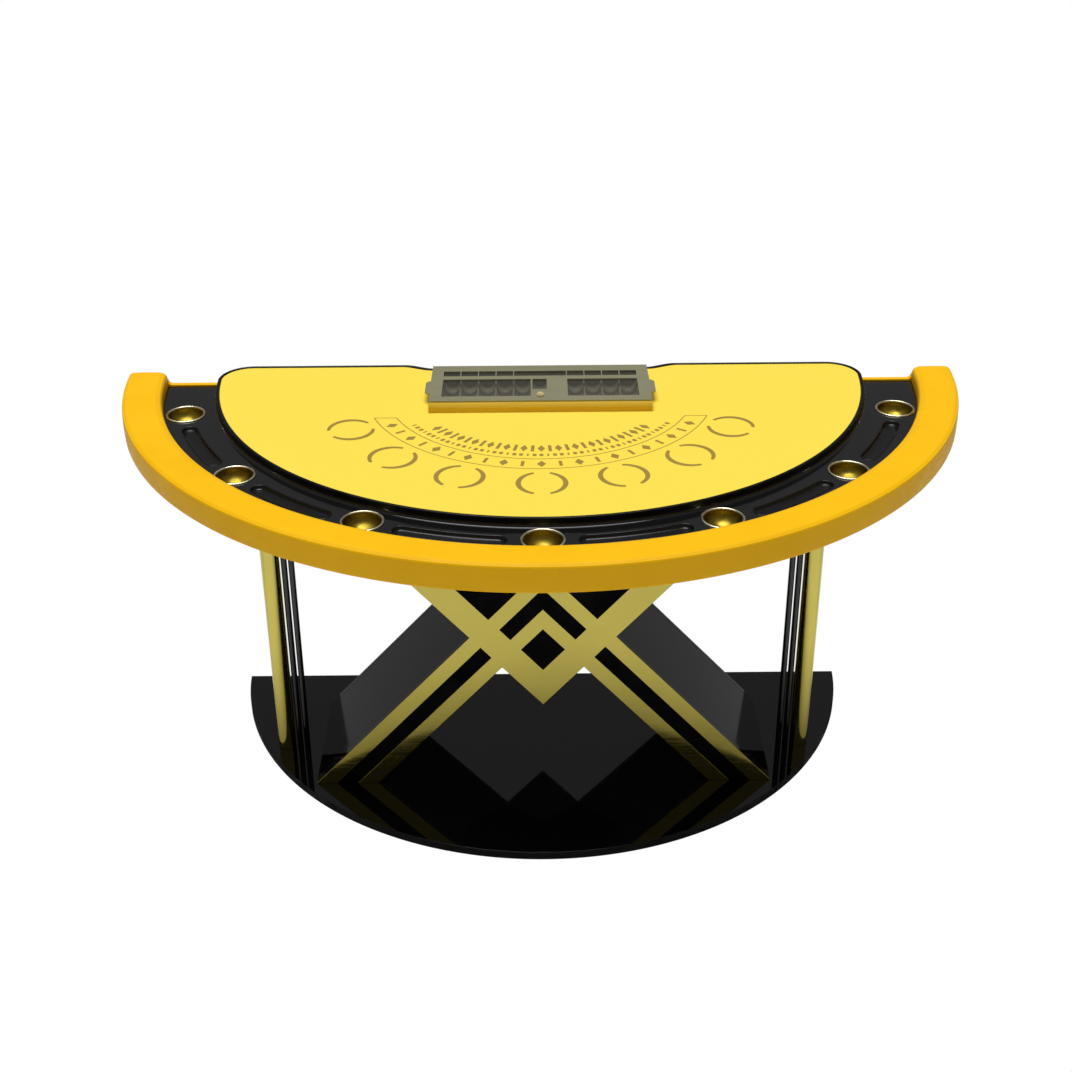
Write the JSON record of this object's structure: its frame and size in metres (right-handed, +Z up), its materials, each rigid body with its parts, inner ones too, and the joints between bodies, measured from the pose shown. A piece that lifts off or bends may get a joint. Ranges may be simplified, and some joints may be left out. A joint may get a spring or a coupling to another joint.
{
  "type": "half-moon card table",
  "caption": "Half-moon casino card table: padded armrest, racetrack with drop-in cups, felt deck, lockable chip tray, crossed pedestal and clustered columns on a D base.",
  "frame": {"origin": "middle of the bounding box, on the floor", "axes": "+X to the right seen from the players' side, +Y towards the dealer, +Z up"},
  "size_m": [2.1298, 1.092, 0.88],
  "materials": {
    "vinyl_amber": "soft upholstery vinyl, fine grain, satin",
    "felt_yellow": "short napped felt, printed ornament",
    "lacquer_black": "MDF board in polished black lacquer",
    "racetrack_black": "moulded, polished black",
    "inlay_black": "flat black inlay sheet",
    "trim_black": "soft black edging, satin",
    "gold_sheet": "polished gold-toned metal sheet",
    "cup_brass": "spun brass, satin inside, bright rim",
    "tray_gold": "gold anodised, satin",
    "lid_grey": "grey satin metal",
    "smoked_pane": "smoked clear sheet",
    "steel_pin": "ground steel rod",
    "lock_brass": "polished brass",
    "steel_plate": "black powder coat",
    "plywood": "bare birch plywood",
    "bearer_wood": "hardwood stained black",
    "underlay_rubber": "ribbed rubber sheet"
  },
  "bodies": {
    "table": {"base_underlay": "underlay_rubber", "base_plate": "lacquer_black", "pedestal_front": "lacquer_black", "pedestal_back": "lacquer_black", "pedestal_top": "lacquer_black", "fascia_gold": "gold_sheet", "inlay_diamond": "inlay_black", "inlay_chevron": "inlay_black", "inlay_upper": "inlay_black", "bearer_front": "bearer_wood", "bearer_back": "bearer_wood", "sub_top": "plywood", "armrest_core": "plywood", "armrest_pad": "vinyl_amber", "racetrack_1": "racetrack_black", "racetrack_2": "racetrack_black", "racetrack_3": "racetrack_black", "racetrack_4": "racetrack_black", "racetrack_5": "racetrack_black", "racetrack_6": "racetrack_black", "racetrack_7": "racetrack_black", "racetrack_8": "racetrack_black", "deck_board": "plywood", "felt_cloth": "felt_yellow", "deck_trim": "trim_black", "leg_outer_left": "lacquer_black", "leg_inner_left": "lacquer_black", "arm_outer_left": "lacquer_black", "vee_board_left": "lacquer_black", "column_rod_a_left": "lacquer_black", "column_rod_b_left": "lacquer_black", "inlay_leg_left": "inlay_black", "column_flange_left": "steel_plate", "end_lip_left": "vinyl_amber", "column_tube_left": "gold_sheet", "leg_outer_right": "lacquer_black", "leg_inner_right": "lacquer_black", "arm_outer_right": "lacquer_black", "vee_board_right": "lacquer_black", "column_rod_a_right": "lacquer_black", "column_rod_b_right": "lacquer_black", "inlay_leg_right": "inlay_black", "column_flange_right": "steel_plate", "end_lip_right": "vinyl_amber", "column_tube_right": "gold_sheet"},
    "tray": {"tray_body": "tray_gold", "hinge_pin": "steel_pin"},
    "lid": {"tray_lid": "lid_grey", "lid_window": "smoked_pane"},
    "lock": {"lid_lock": "lock_brass"},
    "cup_1": {"cup_1": "cup_brass"},
    "cup_2": {"cup_2": "cup_brass"},
    "cup_3": {"cup_3": "cup_brass"},
    "cup_4": {"cup_4": "cup_brass"},
    "cup_5": {"cup_5": "cup_brass"},
    "cup_6": {"cup_6": "cup_brass"},
    "cup_7": {"cup_7": "cup_brass"}
  },
  "joints": [
    {"name": "tray_lift", "type": "slide", "parent": "table", "child": "tray", "axis": [0, 0, 1], "range_m": [0, 0.12]},
    {"name": "lid_hinge", "type": "hinge", "parent": "tray", "child": "lid", "pos_m": [0, 0.469, 0.862], "axis": [-1, 0, 0], "range_deg": [0, 105]},
    {"name": "lock_turn", "type": "hinge", "parent": "lid", "child": "lock", "pos_m": [0, 0.281, 0.869], "axis": [0, 0, -1], "range_deg": [0, 90]},
    {"name": "cup_1_lift", "type": "slide", "parent": "table", "child": "cup_1", "axis": [0, 0, 1], "range_m": [0, 0.08]},
    {"name": "cup_2_lift", "type": "slide", "parent": "table", "child": "cup_2", "axis": [0, 0, 1], "range_m": [0, 0.08]},
    {"name": "cup_3_lift", "type": "slide", "parent": "table", "child": "cup_3", "axis": [0, 0, 1], "range_m": [0, 0.08]},
    {"name": "cup_4_lift", "type": "slide", "parent": "table", "child": "cup_4", "axis": [0, 0, 1], "range_m": [0, 0.08]},
    {"name": "cup_5_lift", "type": "slide", "parent": "table", "child": "cup_5", "axis": [0, 0, 1], "range_m": [0, 0.08]},
    {"name": "cup_6_lift", "type": "slide", "parent": "table", "child": "cup_6", "axis": [0, 0, 1], "range_m": [0, 0.08]},
    {"name": "cup_7_lift", "type": "slide", "parent": "table", "child": "cup_7", "axis": [0, 0, 1], "range_m": [0, 0.08]}
  ]
}
